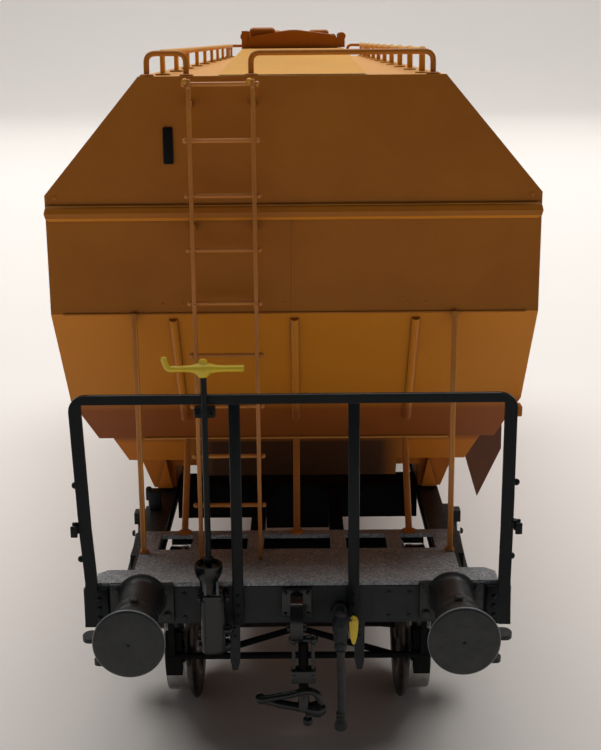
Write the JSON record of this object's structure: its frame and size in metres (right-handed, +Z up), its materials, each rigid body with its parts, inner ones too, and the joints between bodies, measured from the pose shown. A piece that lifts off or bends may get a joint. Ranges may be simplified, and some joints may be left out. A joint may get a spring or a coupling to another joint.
{
  "type": "scale model of a two-axle grain hopper wagon, 1:87",
  "caption": "Scale model of a grain hopper wagon: orange hopper body with hatches, dark underframe with buffers, two free wheelsets in sprung axleguards, end ladders and a brake platform.",
  "frame": {"origin": "middle of the wagon, on the plane under the wheel flanges", "axes": "+Y along the wagon, from the brake platform end towards the other end; +X to the right of someone who looks at the brake platform end; +Z up"},
  "size_m": [0.032, 0.1174, 0.049],
  "materials": {
    "body_orange": "satin orange-ochre moulded plastic",
    "roof_yellow": "satin yellow-ochre moulded plastic",
    "frame_dark_grey": "satin blue-black moulded plastic",
    "deck_grey_brown": "rough grey-brown moulded plastic",
    "handle_yellow": "satin yellow moulded plastic",
    "bracket_brown": "satin brown moulded plastic",
    "wheel_metal": "browned turned metal, bright on the tread"
  },
  "bodies": {
    "wagon": {"axleguard_front_left": "frame_dark_grey", "axleguard_front_right": "frame_dark_grey", "axleguard_rear_left": "frame_dark_grey", "axleguard_rear_right": "frame_dark_grey", "bolster_front": "frame_dark_grey", "bolster_rear": "frame_dark_grey", "brake_column": "frame_dark_grey", "brake_crank": "handle_yellow", "brake_gear_front": "frame_dark_grey", "brake_gear_rear": "frame_dark_grey", "brake_hose_front": "frame_dark_grey", "brake_hose_rear": "frame_dark_grey", "buffer_front_left": "frame_dark_grey", "buffer_front_right": "frame_dark_grey", "buffer_rear_left": "frame_dark_grey", "buffer_rear_right": "frame_dark_grey", "coupling_front": "frame_dark_grey", "coupling_rear": "frame_dark_grey", "deck_front": "deck_grey_brown", "deck_rear": "deck_grey_brown", "draw_hook_front": "frame_dark_grey", "draw_hook_rear": "frame_dark_grey", "end_rail_front": "frame_dark_grey", "end_rail_rear": "frame_dark_grey", "end_strut_left_front": "body_orange", "end_strut_left_rear": "body_orange", "end_strut_middle_front": "body_orange", "end_strut_middle_rear": "body_orange", "end_strut_right_front": "body_orange", "end_strut_right_rear": "body_orange", "flat_strut_left_front": "body_orange", "flat_strut_left_rear": "body_orange", "flat_strut_right_front": "body_orange", "flat_strut_right_rear": "body_orange", "hatch_cover_1": "roof_yellow", "hatch_cover_2": "roof_yellow", "headstock_front": "frame_dark_grey", "headstock_rear": "frame_dark_grey", "hopper_body": "body_orange", "hopper_cone_1": "body_orange", "hopper_cone_2": "body_orange", "hose_cock_handle_front": "handle_yellow", "hose_cock_handle_rear": "handle_yellow", "ladder_front": "body_orange", "ladder_rear": "body_orange", "outlet_gate_1": "frame_dark_grey", "outlet_gate_2": "frame_dark_grey", "roof_coaming": "roof_yellow", "roof_hoop_left_front": "roof_yellow", "roof_hoop_left_rear": "roof_yellow", "roof_hoop_right_front": "roof_yellow", "roof_hoop_right_rear": "roof_yellow", "roof_rail_left": "roof_yellow", "roof_rail_right": "roof_yellow", "side_plate": "bracket_brown", "side_plate_rear": "bracket_brown", "side_sill_left": "frame_dark_grey", "side_sill_right": "frame_dark_grey"},
    "wheelset_front": {"wheelset_front": "wheel_metal"},
    "wheelset_rear": {"wheelset_rear": "wheel_metal"}
  },
  "joints": [
    {"name": "wheelset_front_spin", "type": "hinge", "parent": "wagon", "child": "wheelset_front", "pos_m": [0, -0.04025, 0.00595], "axis": [1, 0, 0], "continuous": true},
    {"name": "wheelset_rear_spin", "type": "hinge", "parent": "wagon", "child": "wheelset_rear", "pos_m": [0, 0.04025, 0.00595], "axis": [1, 0, 0], "continuous": true}
  ]
}
